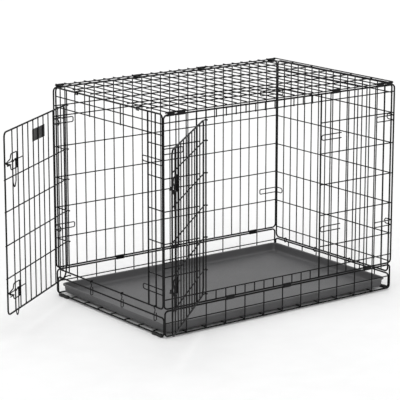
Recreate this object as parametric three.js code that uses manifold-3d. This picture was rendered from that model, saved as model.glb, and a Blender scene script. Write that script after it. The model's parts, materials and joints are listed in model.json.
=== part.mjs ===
// Folding wire dog crate with two hinged doors and a slide-out floor pan.
// Millimetres, +Z up. X runs along the crate (the door end is at -X), Y across it
// (the side door is in the -Y side). The origin is the middle of the floor grid's underside.
import * as THREE from 'three';
import { mergeVertices } from 'three/addons/utils/BufferGeometryUtils.js';
import Module from 'manifold-3d';

const wasm = await Module();
wasm.setup();

// ---- driving dimensions ----
const LENGTH = 940;              // over the end panels
const WIDTH = 622;               // over the side panels
const HEIGHT = 711;              // floor grid underside to top grille
const FRAME = 5.5;               // heavy wire: frames, rails, jambs
const GRID = 2.5;                // light wire: uprights and rows
const GAP = 0.3;                 // kept between separate pieces
const ROWS = [193, 298, 400, 503, 605];   // heights of the light rows

const HALF = FRAME / 2;
const SIDE_Y = WIDTH / 2 - HALF;           // middle plane of a side panel
const END_X = LENGTH / 2 - HALF;           // middle plane of an end panel
const SIDE_HALF = LENGTH / 2 - FRAME - 1.3;  // half length of a side panel, just inside the ends
const END_HALF = WIDTH / 2 - FRAME - 4;      // half width of an end panel, clear of the clips
const BAYS = 24;                 // bays between a side panel's uprights
const PITCH = 2 * SIDE_HALF / BAYS;

const BASE_RAIL_Z = 83.75;       // long base rail: the side panels hinge on it
const HINGE_STEP = 7;            // from a base rail to the panel rail beside it
const SIDE_TOP_Z = 700;          // top rail of a side panel: the top hinges on it
const TOP_Z = HEIGHT - HALF;     // middle plane of the top grille
const TOP_INSET = 3.5;           // top grille's end wires set in from the side panels
const END_TOP_Z = 701.75;        // top rail of an end panel, under the top grille
const LEFT_AXIS_Z = 60.5;        // base end rail that the door end folds about
const RIGHT_AXIS_Z = 50.5;       // base end rail that the plain end folds about
const LEFT_RAIL_Z = 88;          // bottom rail of the door end
const BASE_MID_Z = 44;           // light row in the base's long walls
const BASE_PITCH = 2 * PITCH;    // spacing of the base's uprights and cross wires
const FLOOR_BAYS = 8;            // bays between the long wires of the floor grid

const SIDE_SILL_Z = 120;
const SIDE_HEADER_Z = 676;
const SIDE_HINGE_X = -SIDE_HALF + 4 * PITCH;   // hinge post of the side door
const SIDE_JAMB_X = SIDE_HINGE_X + 12 * PITCH;
const END_HEADER_Z = 637;
const END_UPPER_Z = 672;
const END_HINGE_Y = 234;         // hinge post of the end door
const END_JAMB_Y = -222;
const POST_R = 2;                // hinge post, and the loops of the leaf that turn on it
const RING_IN = 2.35;
const RING_OUT = 3.6;
const LEAF_OFFSET = 6;           // hinge post to the leaf's middle plane
const LEAF_START = 7;            // hinge post to the leaf's hinge stile
const LEAF_ROOM = 26;            // light rows stop this far from a hinge post, to let the leaf swing
const HINGE_CORNER = 32;         // rounding of a leaf's corners at its hinge side

const SIDE_DOOR = { width: 473, bottom: 112, top: 672, open: 138, rows: ROWS, ends: 5, first: 48, corner: 22,
  bolts: [250, 555] };
const END_DOOR = { width: 470, bottom: 76, top: 647, open: 55, rows: [196, 300, 406, 507], ends: 24, first: 62,
  corner: 60, bolts: [140, 550] };
const LEAF_PITCH = 40.6;
// Latch parts, placed by their distance from the hinge post (s) and from the bolt's own height.
const BOLT = { rod: 3, y: -13.45, tail: 340, jog: 3, tip: 16, tipY: 3.3 };   // the tip runs behind the panel
const BRACKET = { far: 367, shoulder: 406, step: 420, near: 452, half: 30, waist: 14, thick: 2.3 };
const EYE = { half: 1.9, wall: 1.5, depth: 3.4, height: 4 };
const HANDLE = { s: 400, bore: 2.45, outer: 4, length: 98, half: 4 };
const PLATE = { from: 162, to: 260, bottom: 581, top: 620, thick: 1.4 };
const SIDE_KEEPER = { gap: 6, reach: 75 };     // from the shut leaf's free edge, and its length
const END_KEEPER = { gap: 5, reach: 59 };
const KEEPER_HALF = 9;                         // half the distance between a keeper's legs

const PAN = { x: 461, y: 301, bottom: 5.8, top: 37, wall: 2.4, lip: 5 };
const PULL_HOLE = { centres: [82, -3], half: 4, bottom: 25.5, top: 33.5 };
const FOOT = { y: 268, length: 50, drop: 4, cheek: 3, height: 5.2 };
const CLIP = { length: 22, bore: 4.4, sheet: 1.3, endShift: 5.6 };
const LOOP_LENGTH = 3;           // length along its rail of a hinge hook or loop of wire
const HOOK_WIRE = 2;
const UPPER_FRONT_BAYS = [0, 1, 17, 22, 23];
const UPPER_BACK_BAYS = [0, 8, 15, 23];
const LOWER_BAYS = [6, 12, 21];
const LEFT_HOOKS_Y = [101, -74, -249];
const RIGHT_LOOPS_Y = [247, 82, -102];
const LEFT_CORNER_HOOK = { y: 262, reach: 36, upper: 588, lower: 230 };
const RIGHT_CORNER_HOOK = { y: 262, reach: 36, upper: 588, lower: 230 };

const BACK_EXTRA_ROW = 640;
const RIGHT_EXTRA_ROW = 96;
const RIGHT_BAYS = 16;
const TOP_ROW_STEP = 103;
const LEFT_STILES = [-269, 262];   // light uprights beside the end doorway
const HEADER_TIES = [-97, 77];     // light uprights above the end doorway

// ---- materials ----
const wireCoat = () => new THREE.MeshStandardMaterial({ color: 0x141416, roughness: 0.42, metalness: 0.35 });
const zincClip = () => new THREE.MeshStandardMaterial({ color: 0x1b1b1d, roughness: 0.5, metalness: 0.4 });
const panPlastic = () => new THREE.MeshStandardMaterial({ color: 0x3a3a3d, roughness: 0.6, metalness: 0 });
const footRubber = () => new THREE.MeshStandardMaterial({ color: 0x101011, roughness: 0.85, metalness: 0 });
const platePlastic = () => new THREE.MeshStandardMaterial({ color: 0x1c1c1f, roughness: 0.5, metalness: 0 });

// ---- solids ----
function solid(geometry) {
  geometry.deleteAttribute('normal');
  geometry.deleteAttribute('uv');
  const merged = mergeVertices(geometry, 1e-5);
  return new wasm.Manifold(new wasm.Mesh({
    numProp: 3,
    vertProperties: new Float32Array(merged.attributes.position.array),
    triVerts: new Uint32Array(merged.index.array),
  }));
}

function box(x0, x1, y0, y1, z0, z1) {
  const geometry = new THREE.BoxGeometry(x1 - x0, y1 - y0, z1 - z0);
  geometry.translate((x0 + x1) / 2, (y0 + y1) / 2, (z0 + z1) / 2);
  return solid(geometry);
}

// A flat outline in X and Z, extruded along Y from y0 to y1.
function slab(shape, y0, y1, segments = 6) {
  const geometry = new THREE.ExtrudeGeometry(shape, {
    depth: y1 - y0, bevelEnabled: false, curveSegments: segments });
  geometry.rotateX(Math.PI / 2);
  geometry.translate(0, y1, 0);
  return solid(geometry);
}

function join(solids) {
  let list = solids;
  while (list.length > 1) {
    const next = [];
    for (let i = 0; i + 1 < list.length; i += 2) next.push(list[i].add(list[i + 1]));
    if (list.length % 2) next.push(list[list.length - 1]);
    list = next;
  }
  return list[0];
}

function toMesh(name, body, material) {
  const data = body.getMesh();
  const geometry = new THREE.BufferGeometry();
  geometry.setAttribute('position', new THREE.BufferAttribute(new Float32Array(data.vertProperties), 3));
  geometry.setIndex(new THREE.BufferAttribute(new Uint32Array(data.triVerts), 1));
  geometry.computeVertexNormals();
  const mesh = new THREE.Mesh(geometry, material);
  mesh.name = name;
  return mesh;
}

// A bent wire of square section in X and Z, filling y0 to y1.
function bentWire(points, size, y0, y1) {
  const pieces = [];
  for (let i = 0; i + 1 < points.length; i += 1) {
    const [ax, az] = points[i];
    const [bx, bz] = points[i + 1];
    const length = Math.hypot(bx - ax, bz - az) + size;
    const geometry = new THREE.BoxGeometry(length, y1 - y0, size);
    geometry.rotateY(-Math.atan2(bz - az, bx - ax));
    geometry.translate((ax + bx) / 2, (y0 + y1) / 2, (az + bz) / 2);
    pieces.push(solid(geometry));
  }
  return join(pieces);
}

function octagonPost(radius, z0, z1) {
  const geometry = new THREE.CylinderGeometry(radius, radius, z1 - z0, 8);
  geometry.rotateX(Math.PI / 2);
  geometry.translate(0, 0, (z0 + z1) / 2);
  return solid(geometry);
}

function ring(inner, outer, z0, z1) {
  return octagonPost(outer, z0, z1).subtract(octagonPost(inner, z0 - 1, z1 + 1));
}

// ---- grilles: built upright, outer face towards -Y, middle plane at y = 0 ----
const LAYER = { full: [-HALF, HALF], outer: [-HALF + 0.1, -GAP / 2], inner: [GAP / 2, HALF - 0.1] };

function upright(x, z0, z1, layer = 'outer') {
  const half = (layer === 'full' ? FRAME : GRID) / 2;
  return box(x - half, x + half, ...LAYER[layer], z0, z1);
}

function row(z, x0, x1, layer = 'inner') {
  const half = (layer === 'full' ? FRAME : GRID) / 2;
  return box(x0, x1, ...LAYER[layer], z - half, z + half);
}

// Frame of heavy wire with rounded corners.
function frame(x0, x1, z0, z1, corner) {
  const outer = roundedOutline(x0, x1, z0, z1, corner);
  const inner = roundedOutline(x0 + FRAME, x1 - FRAME, z0 + FRAME, z1 - FRAME, corner - FRAME);
  return slab(outer, -HALF, HALF, 3).subtract(slab(inner, -FRAME, FRAME, 3));
}

function roundedOutline(x0, x1, z0, z1, corner) {
  const radii = typeof corner === 'number' ? [corner, corner, corner, corner] : corner;
  const [a, b, c, d] = radii;    // low-start, low-end, high-end, high-start
  const shape = new THREE.Shape();
  shape.moveTo(x0 + a, z0);
  shape.lineTo(x1 - b, z0);
  shape.absarc(x1 - b, z0 + b, b, -Math.PI / 2, 0, false);
  shape.lineTo(x1, z1 - c);
  shape.absarc(x1 - c, z1 - c, c, 0, Math.PI / 2, false);
  shape.lineTo(x0 + d, z1);
  shape.absarc(x0 + d, z1 - d, d, Math.PI / 2, Math.PI, false);
  shape.lineTo(x0, z0 + a);
  shape.absarc(x0 + a, z0 + a, a, Math.PI, 1.5 * Math.PI, false);
  return shape;
}

const sideColumn = (i) => -SIDE_HALF + i * PITCH;
const SIDE_BOTTOM = BASE_RAIL_Z + HINGE_STEP - HALF;
const SIDE_TOP = SIDE_TOP_Z + HALF;
const SIDE_CORNER = 12;
const END_CORNER = 14;

function frontSide() {
  const parts = [frame(-SIDE_HALF, SIDE_HALF, SIDE_BOTTOM, SIDE_TOP, SIDE_CORNER)];
  const clear = PITCH / 2;
  for (let i = 1; i < BAYS; i += 1) {
    const x = sideColumn(i);
    const inDoorway = x > SIDE_HINGE_X - clear && x < SIDE_JAMB_X + clear;
    const atPost = Math.abs(x - SIDE_HINGE_X) < clear;
    const atJamb = Math.abs(x - SIDE_JAMB_X) < clear;
    const layer = atPost || atJamb ? 'full' : 'outer';
    if (inDoorway && !atJamb) {
      parts.push(upright(x, SIDE_BOTTOM + HALF, SIDE_SILL_Z + HALF, layer));
      parts.push(upright(x, SIDE_HEADER_Z - HALF, SIDE_TOP - HALF, layer));
    } else {
      parts.push(upright(x, SIDE_BOTTOM + HALF, SIDE_TOP - HALF, layer));
    }
  }
  for (const z of [SIDE_SILL_Z, SIDE_HEADER_Z]) parts.push(row(z, -SIDE_HALF + HALF, SIDE_HALF - HALF));
  for (const z of ROWS) {
    parts.push(row(z, -SIDE_HALF + HALF, SIDE_HINGE_X - LEAF_ROOM));
    parts.push(row(z, SIDE_JAMB_X, SIDE_HALF - HALF));
  }
  return join(parts);
}

function backSide() {
  const parts = [frame(-SIDE_HALF, SIDE_HALF, SIDE_BOTTOM, SIDE_TOP, SIDE_CORNER)];
  for (let i = 1; i < BAYS; i += 1) parts.push(upright(sideColumn(i), SIDE_BOTTOM + HALF, SIDE_TOP - HALF));
  for (const z of [...ROWS, BACK_EXTRA_ROW]) parts.push(row(z, -SIDE_HALF + HALF, SIDE_HALF - HALF));
  return join(parts);
}

// The top grille lies down: its uprights run across the crate, uppermost.
function topGrille() {
  const reach = SIDE_Y + HALF;
  const endX = SIDE_HALF - TOP_INSET;
  const parts = [
    row(-SIDE_Y, -SIDE_HALF, SIDE_HALF, 'full'),
    row(SIDE_Y, -SIDE_HALF, SIDE_HALF, 'full'),
  ];
  for (const x of [-endX, endX]) parts.push(upright(x - Math.sign(x) * GRID / 2, -reach + 1, reach - 1));
  for (let i = 1; i < BAYS; i += 1) parts.push(upright(sideColumn(i), -reach + 1, reach - 1));
  for (let j = -2; j <= 2; j += 1) {
    const y = j * TOP_ROW_STEP;
    parts.push(row(y, -endX + 0.5, endX - 0.5));
    for (const s of [-1, 1]) {
      const x = s * (endX - GRID / 2);
      parts.push(box(x - GRID / 2, x + GRID / 2, -HALF + 0.1, HALF - 0.1, y - GRID / 2, y + GRID / 2));
    }
  }
  return join(parts);
}

function endRows(list, from, to) {
  return list.map((z) => row(z, from, to));
}

// Built with x = -Y of the crate, so the hinge post is at x = -END_HINGE_Y.
function leftEnd() {
  const bottom = LEFT_RAIL_Z - HALF;
  const top = END_TOP_Z + HALF;
  const post = -END_HINGE_Y;
  const jamb = -END_JAMB_Y;
  const parts = [frame(-END_HALF, END_HALF, bottom, top, END_CORNER)];
  for (const x of LEFT_STILES) parts.push(upright(x, bottom + HALF, top - HALF));
  parts.push(upright(jamb, bottom + HALF, top - HALF, 'full'));
  parts.push(upright(post, END_HEADER_Z - HALF, top - HALF, 'full'));
  for (const x of HEADER_TIES) parts.push(upright(x, END_HEADER_Z - HALF, top - HALF));
  for (const z of [END_HEADER_Z, END_UPPER_Z]) parts.push(row(z, -END_HALF + HALF, END_HALF - HALF));
  parts.push(...endRows(ROWS, -END_HALF + HALF, post - LEAF_ROOM));
  parts.push(...endRows(ROWS, jamb, END_HALF - HALF));
  return join(parts);
}

function rightEnd() {
  const bottom = RIGHT_AXIS_Z + HINGE_STEP - HALF;
  const top = END_TOP_Z + HALF;
  const pitch = 2 * END_HALF / RIGHT_BAYS;
  const parts = [frame(-END_HALF, END_HALF, bottom, top, END_CORNER)];
  for (let i = 1; i < RIGHT_BAYS; i += 1) parts.push(upright(-END_HALF + i * pitch, bottom + HALF, top - HALF));
  parts.push(...endRows([RIGHT_EXTRA_ROW, ...ROWS, END_UPPER_Z], -END_HALF + HALF, END_HALF - HALF));
  return join(parts);
}

// ---- base basket ----
function baseBasket() {
  const xo = LENGTH / 2;
  const yo = WIDTH / 2;
  const half = GRID / 2;
  const parts = [];
  for (const s of [-1, 1]) {
    const y = s * SIDE_Y;
    const wall = (z0, z1) => box(-xo, xo, y - HALF, y + HALF, z0, z1);
    parts.push(wall(0, FRAME), wall(BASE_RAIL_Z - HALF, BASE_RAIL_Z + HALF));
    const inner = s * (SIDE_Y - HALF + half + 0.1);
    const outer = s * (SIDE_Y + HALF - half - 0.1);
    parts.push(box(-xo + 1, xo - 1, inner - half, inner + half, BASE_MID_Z - half, BASE_MID_Z + half));
    for (let i = 1; i < BAYS / 2; i += 1) {
      const x = -SIDE_HALF + i * BASE_PITCH;
      parts.push(box(x - half, x + half, outer - half, outer + half, HALF, BASE_RAIL_Z));
    }
    const endX = s * END_X;
    const railZ = s < 0 ? LEFT_AXIS_Z : RIGHT_AXIS_Z;
    parts.push(box(endX - HALF, endX + HALF, -yo, yo, 0, FRAME));
    parts.push(box(endX - HALF, endX + HALF, -yo + 1, yo - 1, railZ - HALF, railZ + HALF));
    for (const t of [-1, 1]) {
      const postY = t * SIDE_Y;
      parts.push(box(endX - HALF, endX + HALF, postY - HALF, postY + HALF, 0, BASE_RAIL_Z + HALF));
    }
  }
  for (let i = 1; i < FLOOR_BAYS; i += 1) {
    const y = -SIDE_Y + 2 * SIDE_Y * i / FLOOR_BAYS;
    parts.push(box(END_X - half, END_X + half, y - half, y + half, HALF, RIGHT_AXIS_Z));
    parts.push(box(-END_X, END_X, y - half, y + half, 0, GRID));
  }
  for (let i = 1; i < BAYS / 2; i += 1) {
    const x = -SIDE_HALF + i * BASE_PITCH;
    parts.push(box(x - half, x + half, -SIDE_Y, SIDE_Y, GRID + GAP, FRAME - 0.2));
  }
  return join(parts);
}

// Moulded tray with an outward lip and two small pull holes in the door end's wall.
function floorPan() {
  const wallX = PAN.x - PAN.lip;
  const wallY = PAN.y - PAN.lip;
  const shell = box(-wallX, wallX, -wallY, wallY, PAN.bottom, PAN.top);
  const lip = box(-PAN.x, PAN.x, -PAN.y, PAN.y, PAN.top - PAN.wall, PAN.top);
  const hollow = box(-wallX + PAN.wall, wallX - PAN.wall, -wallY + PAN.wall, wallY - PAN.wall,
    PAN.bottom + PAN.wall, PAN.top + 1);
  const { centres, half, bottom, top } = PULL_HOLE;
  const holes = centres.map((y) => box(-PAN.x, -wallX + PAN.wall + 1,
    y - half, y + half, bottom, top));
  return join([shell, lip]).subtract(hollow).subtract(join(holes));
}

// Rubber saddle under an end rail, one cheek on each side of it.
function foot() {
  const { length, drop, cheek, height } = FOOT;
  const slot = HALF + GAP;
  const block = box(-slot - cheek, slot + cheek, -length / 2, length / 2, -drop, height);
  return block.subtract(box(-slot, slot, -length, length, -GAP, height + 1));
}

// ---- hinges ----
// Closed band round two rails: it turns on the rail at z = 0 and grips the one at z = reach.
function clipBand(reach, length) {
  const { bore, sheet } = CLIP;
  const top = reach + HALF + GAP;
  const outline = (r, z) => {
    const shape = new THREE.Shape();
    shape.moveTo(r, 0);
    shape.lineTo(r, z);
    shape.lineTo(-r, z);
    shape.lineTo(-r, 0);
    shape.absarc(0, 0, r, Math.PI, 2 * Math.PI, false);
    return shape;
  };
  return slab(outline(bore + sheet, top + sheet), -length / 2, length / 2, 3)
    .subtract(slab(outline(bore, top), -length, length, 3));
}

// Wire hook: an eye round the base rail at z = 0 and a stem up to the panel's rail.
function hingeHook(reach, width) {
  const eye = slab(circle(CLIP.bore + HOOK_WIRE), -width / 2, width / 2, 4)
    .subtract(slab(circle(CLIP.bore), -width, width, 4));
  const stem = box(-GRID / 2, GRID / 2, -width / 2, width / 2, CLIP.bore + 0.5, reach - HALF - GAP);
  return eye.add(stem);
}

function circle(radius) {
  const shape = new THREE.Shape();
  shape.absarc(0, 0, radius, 0, 2 * Math.PI, false);
  return shape;
}

// ---- doors: hinge post on the Z axis, leaf along +X, outer face towards -Y when closed ----
function doorLeaf(door) {
  const { width, bottom, top, rows, ends, first, corner } = door;
  const start = LEAF_START;
  const shift = (body) => body.translate(0, -LEAF_OFFSET, 0);
  const corners = [HINGE_CORNER, 20, corner, HINGE_CORNER];
  const outer = roundedOutline(start, width, bottom, top, corners);
  const inner = roundedOutline(start + FRAME, width - FRAME, bottom + FRAME, top - FRAME,
    corners.map((r) => r - FRAME));
  const parts = [slab(outer, -HALF, HALF, 4).subtract(slab(inner, -FRAME, FRAME, 4))];
  const free = width - HALF;
  for (let x = free - first; x > start + FRAME + 12; x -= LEAF_PITCH) {
    parts.push(upright(x, bottom + HALF, top - HALF));
  }
  for (const z of rows) parts.push(row(z, 0, width + ends));   // the row ends stand past the free edge
  const rings = rows.map((z) => ring(RING_IN, RING_OUT, z - GRID / 2, z + GRID / 2));
  return join([shift(join(parts)), ...rings]);
}

// Scalloped wire plate with two eyes that guide the bolt.
function latchBracket() {
  const front = -LEAF_OFFSET - HALF - GAP;
  const back = front - BRACKET.thick;
  const { far, shoulder, step, near, half, waist } = BRACKET;
  const outline = [[far, 0], [far, half], [shoulder, half], [step, waist], [near, 0],
    [step, -waist], [shoulder, -half], [far, -half], [far, 0]];
  const bore = (x) => box(x - 3, x + 3, BOLT.y - EYE.half, BOLT.y + EYE.half, -EYE.half, EYE.half);
  const eyes = [far, near].map((x) => box(x - EYE.wall, x + EYE.wall, BOLT.y - EYE.depth, front,
    -EYE.height, EYE.height));
  return join([bentWire(outline, GRID, back, front), ...eyes]).subtract(bore(near)).subtract(bore(far));
}

// Square rod, stepped inwards at the free edge so its tip runs behind the panel's wires.
function boltRod(free) {
  const { rod, y, tail, jog, tip, tipY } = BOLT;
  const half = rod / 2;
  const bend = free + 1.5;
  return join([
    box(tail, bend + jog, y - half, y + half, -half, half),
    box(bend, bend + jog, y - half, tipY + rod, -half, half),
    box(bend, bend + jog + tip, tipY, tipY + rod, -half, half),
  ]);
}

// Narrow wire loop that hangs from the bolt rod and turns on it.
function boltHandle() {
  const { bore, outer, length, half } = HANDLE;
  const alongRod = (body) => body.rotate([0, 90, 0]);
  const start = -2.2;
  const turn = -length + half;
  const loop = bentWire([[-half, start], [-half, turn], [0, -length], [half, turn], [half, start]], GRID,
    -GRID / 2, GRID / 2);
  const shoulder = bentWire([[-half, -outer + 0.6], [half, -outer + 0.6]], 1.6, -GRID / 2, GRID / 2);
  return join([
    alongRod(ring(bore, outer, -3, 3)),
    loop.subtract(alongRod(octagonPost(bore, -6, 6))),
    shoulder,
  ]);
}

function keeper(reach) {
  const legs = [[0, KEEPER_HALF], [reach, KEEPER_HALF], [reach, -KEEPER_HALF], [0, -KEEPER_HALF]];
  return bentWire(legs, GRID, -HALF - GAP - GRID, -HALF - GAP);
}

// ---- assembly ----
const crate = new THREE.Group();

function place(mesh, x, y, z, turn = 0, parent = crate) {
  mesh.position.set(x, y, z);
  mesh.rotation.z = turn;
  parent.add(mesh);
  return mesh;
}

place(toMesh('base_basket', baseBasket(), wireCoat()), 0, 0, 0);
place(toMesh('floor_pan', floorPan(), panPlastic()), 0, 0, 0);
place(toMesh('front_side_panel', frontSide(), wireCoat()), 0, -SIDE_Y, 0);
place(toMesh('back_side_panel', backSide(), wireCoat()), 0, SIDE_Y, 0, Math.PI);
place(toMesh('left_end_panel', leftEnd(), wireCoat()), -END_X, 0, 0, -Math.PI / 2);
place(toMesh('right_end_panel', rightEnd(), wireCoat()), END_X, 0, 0, Math.PI / 2);
place(toMesh('top_panel', topGrille(), wireCoat()), 0, 0, TOP_Z).rotation.x = -Math.PI / 2;

for (const [name, sx, sy] of [['front_left', -1, -1], ['front_right', 1, -1], ['back_left', -1, 1],
  ['back_right', 1, 1]]) {
  place(toMesh(`foot_${name}`, foot(), footRubber()), sx * END_X, sy * FOOT.y, 0);
}

const bayMiddle = (i) => -SIDE_HALF + (i + 0.5) * PITCH;
function addClips(prefix, bays, y, z, reach) {
  bays.forEach((bay, i) => {
    const end = bay === 0 ? CLIP.endShift : bay === BAYS - 1 ? -CLIP.endShift : 0;
    const clip = toMesh(`${prefix}_${i + 1}`, clipBand(reach, CLIP.length), zincClip());
    place(clip, bayMiddle(bay) + end, y, z, Math.PI / 2);
  });
}
addClips('front_top_clip', UPPER_FRONT_BAYS, -SIDE_Y, SIDE_TOP_Z, TOP_Z - SIDE_TOP_Z);
addClips('back_top_clip', UPPER_BACK_BAYS, SIDE_Y, SIDE_TOP_Z, TOP_Z - SIDE_TOP_Z);
addClips('front_base_clip', LOWER_BAYS, -SIDE_Y, BASE_RAIL_Z, HINGE_STEP);
addClips('back_base_clip', LOWER_BAYS, SIDE_Y, BASE_RAIL_Z, HINGE_STEP);

LEFT_HOOKS_Y.forEach((y, i) => {
  const hook = hingeHook(LEFT_RAIL_Z - LEFT_AXIS_Z, LOOP_LENGTH);
  place(toMesh(`left_end_hinge_hook_${i + 1}`, hook, wireCoat()), -END_X, y, LEFT_AXIS_Z);
});
RIGHT_LOOPS_Y.forEach((y, i) => {
  const loop = clipBand(HINGE_STEP, LOOP_LENGTH);
  place(toMesh(`right_end_hinge_loop_${i + 1}`, loop, wireCoat()), END_X, y, RIGHT_AXIS_Z);
});

// Corner hooks: two on the back edge of the door end, two on each edge of the plain end.
function addHook(name, x, y, z, turn, reach) {
  place(toMesh(name, keeper(reach), wireCoat()), x, y, z, turn);
}
for (const level of ['upper', 'lower']) {
  const { y, reach } = LEFT_CORNER_HOOK;
  addHook(`left_end_hook_${level}`, -END_X, y, LEFT_CORNER_HOOK[level], -Math.PI / 2, -reach);
  for (const [side, s] of [['front', -1], ['back', 1]]) {
    addHook(`right_end_hook_${side}_${level}`, END_X, s * RIGHT_CORNER_HOOK.y, RIGHT_CORNER_HOOK[level],
      Math.PI / 2, s * RIGHT_CORNER_HOOK.reach);
  }
}

// Bolt keepers on the two door frames.
SIDE_DOOR.bolts.forEach((z, i) => {
  const x = SIDE_HINGE_X + SIDE_DOOR.width + SIDE_KEEPER.gap;
  addHook(`side_door_keeper_${i + 1}`, x, -SIDE_Y, z, 0, SIDE_KEEPER.reach);
});
END_DOOR.bolts.forEach((z, i) => {
  const y = END_HINGE_Y - END_DOOR.width - END_KEEPER.gap;
  addHook(`end_door_keeper_${i + 1}`, -END_X, y, z, -Math.PI / 2, END_KEEPER.reach);
});

// Hinge posts that the door loops turn on.
place(toMesh('side_door_hinge_post', octagonPost(POST_R, SIDE_SILL_Z + HALF + GAP,
  SIDE_HEADER_Z - HALF - GAP), wireCoat()), SIDE_HINGE_X, -SIDE_Y, 0);
place(toMesh('end_door_hinge_post', octagonPost(POST_R, LEFT_RAIL_Z + HALF + GAP,
  END_HEADER_Z - HALF - GAP), wireCoat()), -END_X, END_HINGE_Y, 0);

function addDoor(name, door, x, y, turn) {
  const leaf = new THREE.Group();
  leaf.position.set(x, y, 0);
  leaf.rotation.z = turn;
  crate.add(leaf);
  place(toMesh(name, doorLeaf(door), wireCoat()), 0, 0, 0, 0, leaf);
  door.bolts.forEach((z, i) => {
    place(toMesh(`${name}_bracket_${i + 1}`, latchBracket(), wireCoat()), 0, 0, z, 0, leaf);
    place(toMesh(`${name}_bolt_${i + 1}`, boltRod(door.width), wireCoat()), 0, 0, z, 0, leaf);
    place(toMesh(`${name}_handle_${i + 1}`, boltHandle(), wireCoat()), HANDLE.s, BOLT.y, z, 0, leaf);
  });
  return leaf;
}
const degrees = Math.PI / 180;
addDoor('side_door', SIDE_DOOR, SIDE_HINGE_X, -SIDE_Y, -SIDE_DOOR.open * degrees);
const endLeaf = addDoor('end_door', END_DOOR, -END_X, END_HINGE_Y, -(90 + END_DOOR.open) * degrees);
const plateFront = -LEAF_OFFSET - HALF - GAP;
place(toMesh('blank_plate', box(PLATE.from, PLATE.to, plateFront - PLATE.thick, plateFront,
  PLATE.bottom, PLATE.top), platePlastic()), 0, 0, 0, 0, endLeaf);

export default crate;
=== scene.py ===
"""Looks for the folding wire dog crate: bent and welded wires, hinge clips, latches, pan and feet.

Shapes are built in millimetres, in the axes of the fixed frame, and become meshes in metres.
"""
import json
import math

import bpy
from mathutils import Matrix, Vector


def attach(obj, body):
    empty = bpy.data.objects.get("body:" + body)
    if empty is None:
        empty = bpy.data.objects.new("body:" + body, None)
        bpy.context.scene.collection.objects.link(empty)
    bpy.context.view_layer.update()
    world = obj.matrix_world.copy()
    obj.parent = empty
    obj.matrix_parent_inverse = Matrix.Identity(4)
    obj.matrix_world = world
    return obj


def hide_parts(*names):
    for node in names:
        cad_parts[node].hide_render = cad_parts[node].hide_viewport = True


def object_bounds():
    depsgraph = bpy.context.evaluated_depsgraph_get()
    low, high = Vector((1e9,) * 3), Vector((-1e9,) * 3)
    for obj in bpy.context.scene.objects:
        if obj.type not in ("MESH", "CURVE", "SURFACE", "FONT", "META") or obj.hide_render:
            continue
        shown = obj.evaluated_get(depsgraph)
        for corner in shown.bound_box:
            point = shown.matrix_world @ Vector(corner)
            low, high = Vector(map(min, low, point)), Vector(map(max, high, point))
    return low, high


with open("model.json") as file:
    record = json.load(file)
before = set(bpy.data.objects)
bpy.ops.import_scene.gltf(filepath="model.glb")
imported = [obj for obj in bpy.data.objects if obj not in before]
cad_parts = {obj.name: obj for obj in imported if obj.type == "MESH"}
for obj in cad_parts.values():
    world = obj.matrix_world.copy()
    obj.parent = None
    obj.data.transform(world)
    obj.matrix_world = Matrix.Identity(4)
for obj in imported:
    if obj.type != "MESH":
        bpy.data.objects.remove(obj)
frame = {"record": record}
cad_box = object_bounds()

MM = 0.001

# ---- dimensions shared with the fixed frame (mm) ----
LENGTH = 940                     # over the end panels
WIDTH = 622                      # over the side panels
HEIGHT = 711                     # underside of the floor grid to the top grille
FRAME_WIRE = 5.5
HALF = FRAME_WIRE / 2
ROWS = [193, 298, 400, 503, 605]   # heights of the light rows
SIDE_Y = WIDTH / 2 - HALF        # middle plane of a side panel
END_X = LENGTH / 2 - HALF        # middle plane of an end panel
SIDE_ROOM = 1.3                  # keeps a side panel just inside the ends
SIDE_HALF = LENGTH / 2 - FRAME_WIRE - SIDE_ROOM   # its uprights are spread over this half length
END_ROOM = 4                     # keeps an end panel clear of the clips
END_HALF = WIDTH / 2 - FRAME_WIRE - END_ROOM
BAYS = 24                        # bays between a side panel's uprights
PITCH = 2 * SIDE_HALF / BAYS
BASE_RAIL_Z = 83.75              # long base rail, which the side panels hinge on
BASE_SILL_Z = HALF
HINGE_STEP = 7                   # from a base rail to the panel rail above it
SIDE_RAIL_Z = BASE_RAIL_Z + HINGE_STEP
SIDE_TOP_Z = 700
TOP_Z = HEIGHT - HALF            # middle plane of the top grille
TOP_INSET = 4.75
TOP_END_X = SIDE_HALF - TOP_INSET   # end wires of the top grille
TOP_ROWS = 5
TOP_ROW_STEP = 103
END_TOP_Z = 701.75
LEFT_AXIS_Z = 60.5               # base end rail that the door end folds about
RIGHT_AXIS_Z = 50.5              # base end rail that the plain end folds about
LEFT_RAIL_Z = 88
RIGHT_RAIL_Z = RIGHT_AXIS_Z + HINGE_STEP
BASE_MID_Z = 44
FLOOR_BAYS = 8
SIDE_SILL_Z = 120
SIDE_HEADER_Z = 676
HINGE_COLUMN = 4                 # bays from the door end to the side door's hinge post
JAMB_COLUMN = 16
END_HEADER_Z = 637
END_UPPER_Z = 672
END_HINGE_Y = 234
END_JAMB_Y = -222
BACK_EXTRA_ROW = 640
RIGHT_EXTRA_ROW = 96
RIGHT_BAYS = 16
HINGE_STILE = -269               # light upright beside the end door's hinge post, in the door end's own x
LATCH_STILE = 262                # heavy upright beyond the end door's jamb
HEADER_TIES = [-97, 77]
LEAF_START = 7                   # hinge post to the leaf's hinge stile
LEAF_ROOM = 26                   # light rows stop this far from a hinge post
LEAF_PITCH = 40.6
BOLT_Y = -13.45                  # plane of the bolts, from the hinge post
UPPER_FRONT_BAYS = [0, 1, 17, 22, 23]   # bays that hold a hinge clip
UPPER_BACK_BAYS = [0, 8, 15, 23]
LOWER_BAYS = [6, 12, 21]
RIGHT_LOOPS_Y = [247, 82, -102]

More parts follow.
